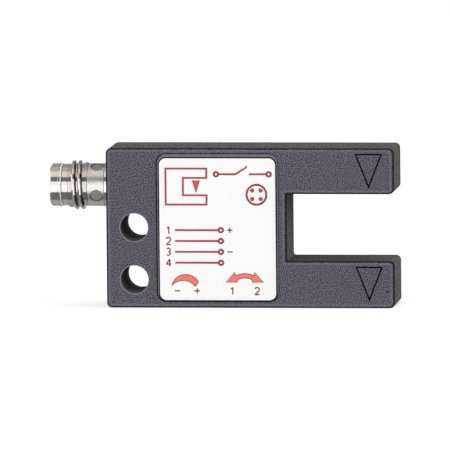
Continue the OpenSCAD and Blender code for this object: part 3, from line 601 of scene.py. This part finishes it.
def weld(node):
    """Joins the corners of a CAD node's faces that lie in one place."""
    merge = nodes[node].modifiers.new("weld", "WELD")
    merge.merge_threshold = WELD_REACH * MM


def soften(node, width):
    """Rounds the sharp edges of a CAD node a little, so that they catch the light."""
    weld(node)
    bevel = nodes[node].modifiers.new("round", "BEVEL")
    bevel.width = width * MM
    bevel.segments = 2
    bevel.limit_method = "ANGLE"
    bevel.angle_limit = math.radians(SHARP_ANGLE)


for node, width in SOFTENED.items():
    soften(node, width)
for node in DOMED:
    weld(node)


def bow(x, z, r, start, end):
    """Points along an arc between two angles in degrees."""
    steps = 12
    turns = [math.radians(start + (end - start) * k / steps) for k in range(steps + 1)]
    return [(x + r * math.cos(turn), z + r * math.sin(turn)) for turn in turns]


# The strokes of each printed figure, as shares of its height from its lower left
STROKES = {
    "1": [[(0.12, 0.76), (0.35, 0.98)], [(0.36, 1.0), (0.36, 0.0)]],
    "2": [bow(0.3, 0.7, 0.3, 165, -40) + [(0.0, 0.0)], [(-0.03, 0.0), (0.62, 0.0)]],
    "3": [bow(0.29, 0.76, 0.24, 150, -90) + bow(0.29, 0.26, 0.26, 90, -150)[1:]],
    "4": [[(0.45, 0.98), (0.0, 0.3)], [(-0.03, 0.3), (0.64, 0.3)], [(0.46, 1.0), (0.46, 0.0)]],
    "plus": [[(-0.05, 0.5), (0.69, 0.5)], [(0.32, 0.13), (0.32, 0.87)]],
    "minus": [[(-0.05, 0.5), (0.69, 0.5)]],
}
STROKE_MIDDLE = (0.32, 0.5)

# Sizes of the printing that is added here, in millimetres, and how flat its round strokes are pressed
FIGURE_HEIGHT = 1.15
FIGURE_STROKE_R = 0.11
FIGURE_FLATNESS = 0.25
OUTLINE_R = 0.065

# How near the front of the print its front corners lie, in millimetres, and the digits of a metre to
# which two corners are the same
FRONT_REACH = 0.001
CORNER_DIGITS = 7

# The figures under the two scales: how high they stand above the label's lower edge, then each piece's
# name, its figure, its scale's middle and how far beside that it stands
SCALE_ROW_UP = 1.55
SCALE_FIGURES = (
    ("mark_less", "minus", sensitivity_x, -1.5),
    ("mark_more", "plus", sensitivity_x, 1.7),
    ("mark_first", "1", function_x, -2.0),
    ("mark_second", "2", function_x, 2.0),
)

# The wiring rows: how far in from the label's left edge their figures and signs stand, how high the
# lowest row is above its lower edge, the rows' distance, and the rows that have a sign
PIN_FIGURES_IN = 1.5
SIGNS_IN = 11.4
LOWEST_ROW_UP = 6.1
ROW_PITCH = 1.75
SIGN_ROWS = {"plus": 1, "minus": 3}
ROWS = 4


def printed_curve(name, radius, roundness):
    """A curve without strokes yet, which is drawn as round strokes of dark ink."""
    curve = bpy.data.curves.new(name, "CURVE")
    curve.dimensions = "3D"
    curve.bevel_depth = radius * MM
    curve.bevel_resolution = roundness
    curve.use_fill_caps = True
    curve.materials.append(dark_ink)
    return curve


def draw(curve, points, closed=False):
    """Adds a stroke along some points to a curve."""
    spline = curve.splines.new("POLY")
    spline.points.add(len(points) - 1)
    for point, place in zip(spline.points, points):
        point.co = (*place, 1.0)
    spline.use_cyclic_u = closed


def printed_piece(curve, y=0.0, flatness=1.0):
    """Puts a curve in the scene as a piece of the label's printing."""
    obj = bpy.data.objects.new(curve.name, curve)
    bpy.context.scene.collection.objects.link(obj)
    obj.location.y = y
    obj.scale.y = flatness
    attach(obj, "body")


def print_outlines():
    """A thin dark line round each printed shape, along the edges of its front face."""
    mesh = nodes["label_print"].data
    front_y = min(v.co.y for v in mesh.vertices)
    edges = {}
    for face in mesh.polygons:
        corners = [tuple(round(c, CORNER_DIGITS) for c in mesh.vertices[i].co) for i in face.vertices]
        if all(y - front_y < FRONT_REACH * MM for _, y, _ in corners):
            edges.update(dict.fromkeys(zip(corners, corners[1:] + corners[:1])))
    following = {a: b for a, b in edges if (b, a) not in edges}
    curve = printed_curve("print_outline", OUTLINE_R, roundness=1)
    while following:
        start, here = following.popitem()
        loop = [start]
        while here != start:
            loop.append(here)
            here = following.pop(here)
        draw(curve, [(x, front_y, z) for x, _, z in loop], closed=True)
    printed_piece(curve)


def mark(name, figure, x, z):
    """A printed figure on the label, centred at x, z."""
    height = FIGURE_HEIGHT * MM
    left = x - STROKE_MIDDLE[0] * height
    foot = z - STROKE_MIDDLE[1] * height
    curve = printed_curve(name, FIGURE_STROKE_R, roundness=2)
    for path in STROKES[figure]:
        draw(curve, [(left + across * height, 0.0, foot + up * height) for across, up in path])
    printed_piece(curve, y=label_low.y, flatness=FIGURE_FLATNESS)


def row_z(row):
    """The height of a wiring row, of which the first is the highest."""
    return label_low.z + (LOWEST_ROW_UP + ROW_PITCH * (ROWS - row)) * MM


def label_marks():
    """The figures under the two scales and beside the wiring rows."""
    for name, figure, scale_x, beside in SCALE_FIGURES:
        mark(name, figure, scale_x + beside * MM, label_low.z + SCALE_ROW_UP * MM)
    for row in range(1, ROWS + 1):
        mark(f"mark_pin_{row}", str(row), label_low.x + PIN_FIGURES_IN * MM, row_z(row))
    for sign, row in SIGN_ROWS.items():
        mark(f"mark_{sign}", sign, label_low.x + SIGNS_IN * MM, row_z(row))


print_outlines()
label_marks()

# The photograph's camera: its angles, its distance in metres and how it frames the object
AZIMUTH = math.radians(6.484)
ELEVATION = math.radians(5.658)
ROLL = math.radians(0.524)
DISTANCE = 2.0
CLIP = (0.01, 20)
FRAME_PIXELS = 450
PIXELS_PER_MM = 6.2202
TARGET = Vector((18.65, -5.5, 3.95)) * MM
TARGET_PIXEL = (253.3, 225.9)
SENSOR = 36.0


def camera():
    """Aims beside the target, so that the target comes out at its pixel, and rolls last."""
    right = Vector((math.cos(AZIMUTH), math.sin(AZIMUTH), 0))
    forward = Vector((
        -math.sin(AZIMUTH) * math.cos(ELEVATION),
        math.cos(AZIMUTH) * math.cos(ELEVATION),
        -math.sin(ELEVATION),
    ))
    up = right.cross(forward)
    centre = FRAME_PIXELS / 2
    off_u = (centre - TARGET_PIXEL[0]) / PIXELS_PER_MM * MM
    off_v = (TARGET_PIXEL[1] - centre) / PIXELS_PER_MM * MM
    across = math.cos(ROLL) * off_u + math.sin(ROLL) * off_v
    along = math.cos(ROLL) * off_v - math.sin(ROLL) * off_u
    place = TARGET - forward * DISTANCE
    aim = TARGET + right * across + up * along
    view = (aim - place).normalized()
    side = (right - view * right.dot(view)).normalized()
    top = side.cross(view)
    rolled_side = side * math.cos(ROLL) - top * math.sin(ROLL)
    rolled_top = side * math.sin(ROLL) + top * math.cos(ROLL)
    data = bpy.data.cameras.new("camera")
    data.sensor_width = SENSOR
    data.lens = PIXELS_PER_MM / MM * DISTANCE / FRAME_PIXELS * SENSOR
    data.clip_start, data.clip_end = CLIP
    obj = bpy.data.objects.new("camera", data)
    basis = Matrix((rolled_side, rolled_top, -view)).transposed()
    obj.matrix_world = Matrix.Translation(place) @ basis.to_4x4()
    bpy.context.scene.collection.objects.link(obj)
    bpy.context.scene.camera = obj


# The studio's colours and strengths. Its places and sizes are metres.
WHITE = (1.0, 1.0, 1.0)
FLOOR_GREY = (0.45, 0.45, 0.45)
FLOOR_GLOW = 0.62
FLOOR_SIZE = 12
CARD_TINT = (1.0, 0.955, 0.92)
AMBIENT_TINT = (1.0, 0.985, 0.97)
AMBIENT = 0.57

# What the lamps look at, and each lamp's name, place, size, power and colour
LAMP_AIM = Vector((0.015, y_mid, 0.004))
LAMPS = (
    ("front_box", (-0.25, -1.1, 0.45), (0.7, 0.5), 7.6, (0.96, 0.97, 1.0)),
    ("top_box", (0.15, 0.1, 1.1), (0.8, 0.6), 3.7, (1.0, 0.98, 0.95)),
    ("side_box", (1.1, -0.15, 0.25), (0.6, 0.6), 6.4, (1.0, 0.98, 0.96)),
)

# Cards that the plug's metal reflects: each one's name, the angles that it fills, in degrees, and its
# level. The sky's angles are elevations, the floor's are counted downwards. The floor's cards lie just
# above it and end just before the housing.
SKY_CARDS = (
    ("sky_flag", 21, 46, 0.15),
    ("sky_bright", 46, 80, 0.76),
    ("sky_card", 80, 112, 0.46),
)
FLOOR_CARDS = (
    ("floor_flag", 35, 80, 0.15),
    ("floor_low_card", 80, 120, 0.37),
    ("floor_far_card", 120, 165, 0.34),
)
SKY_DISTANCE = 0.6
FLOOR_CARD_START = -0.06
FLOOR_CARD_GAP = 0.0001
FLOOR_CARD_UP = 0.0004
CEILING_PLACE = (0.0, 1.4, 0.7)
CEILING_SIZE = (3.0, 2.6)
CEILING_LEVEL = 0.32


def panel(name, look, centre, size, tilt=0.0):
    """A flat piece of the studio. It casts no shadow, and matt surfaces get no light from it."""
    bpy.ops.mesh.primitive_plane_add(size=1, location=centre)
    plane = bpy.context.object
    plane.name = name
    plane.scale = (*size, 1)
    plane.rotation_euler = (tilt, 0, 0)
    plane.data.materials.append(look)
    plane.visible_diffuse = False
    plane.visible_shadow = False
    return plane


def floor():
    """Pale floor. It shows from above only, and lets the light through to the underside."""
    g = material_graph("studio_floor")
    shaded = g.node("BsdfDiffuse", FLOOR_GREY).outputs[0]
    glow = g.node("Emission", WHITE, FLOOR_GLOW).outputs[0]
    from_above = g.node("AddShader", shaded, glow).outputs[0]
    from_below = g.node("BsdfTransparent").outputs[0]
    below = g.node("NewGeometry").outputs["Backfacing"]
    look = g.show(g.node("MixShader", below, from_above, from_below))
    panel("floor", look, (0, 0, housing_low.z), (FLOOR_SIZE, FLOOR_SIZE))


def card(name, centre, size, level, tilt=0.0):
    """A card that only shows in reflections, as used to shape bright metal. Level is brightness."""
    g = material_graph(name)
    plane = panel(name, g.show(g.node("Emission", CARD_TINT, level)), centre, size, tilt)
    plane.visible_camera = False
    plane.visible_transmission = False


def sky_card(name, low, high, level):
    """A card in front of the plug that fills its sky between two elevations."""
    middle = math.radians((low + high) / 2)
    half = math.radians((high - low) / 2)
    off_y = SKY_DISTANCE * math.cos(middle)
    off_z = SKY_DISTANCE * math.sin(middle)
    size = (2 * SKY_DISTANCE, 2 * SKY_DISTANCE * math.tan(half))
    card(name, (0.0, y_mid - off_y, plug_axis_z + off_z), size, level, tilt=math.pi / 2 - middle)


def floor_card(name, low, high, level):
    """A card on the floor under the plug, between two downward angles."""
    above = plug_axis_z - housing_low.z
    near, far = (y_mid - above / math.tan(math.radians(angle)) for angle in (high, low))
    end = housing_low.x - FLOOR_CARD_GAP
    centre = ((FLOOR_CARD_START + end) / 2, (near + far) / 2, housing_low.z + FLOOR_CARD_UP)
    card(name, centre, (end - FLOOR_CARD_START, abs(near - far)), level)


def lamp(name, place, size, power, colour):
    """A soft lamp that metal doesn't reflect."""
    data = bpy.data.lights.new(name, "AREA")
    data.shape = "RECTANGLE"
    data.size, data.size_y = size
    data.energy = power
    data.color = colour
    obj = bpy.data.objects.new(name, data)
    obj.location = place
    obj.rotation_euler = (LAMP_AIM - Vector(place)).to_track_quat("-Z", "Y").to_euler()
    obj.visible_glossy = False
    bpy.context.scene.collection.objects.link(obj)


def sky():
    """White where it is looked at, reflected or seen through clear pieces, and dimmer as a light."""
    world = bpy.data.worlds.new("studio")
    g = Graph(world, "OutputWorld")
    path = g.node("LightPath").outputs
    seen = path["Is Camera Ray"]
    for kind in ("Is Glossy Ray", "Is Transmission Ray"):
        seen = g.math("MAXIMUM", seen, path[kind])
    ambient = g.node("Background", AMBIENT_TINT, AMBIENT).outputs[0]
    white = g.node("Background", WHITE, 1.0).outputs[0]
    bpy.context.scene.world = g.show(g.node("MixShader", seen, ambient, white))


camera()
floor()
sky()
for row in LAMPS:
    lamp(*row)
for row in SKY_CARDS:
    sky_card(*row)
card("ceiling_card", CEILING_PLACE, CEILING_SIZE, CEILING_LEVEL)
for row in FLOOR_CARDS:
    floor_card(*row)

bpy.context.scene.view_settings.view_transform = "Standard"
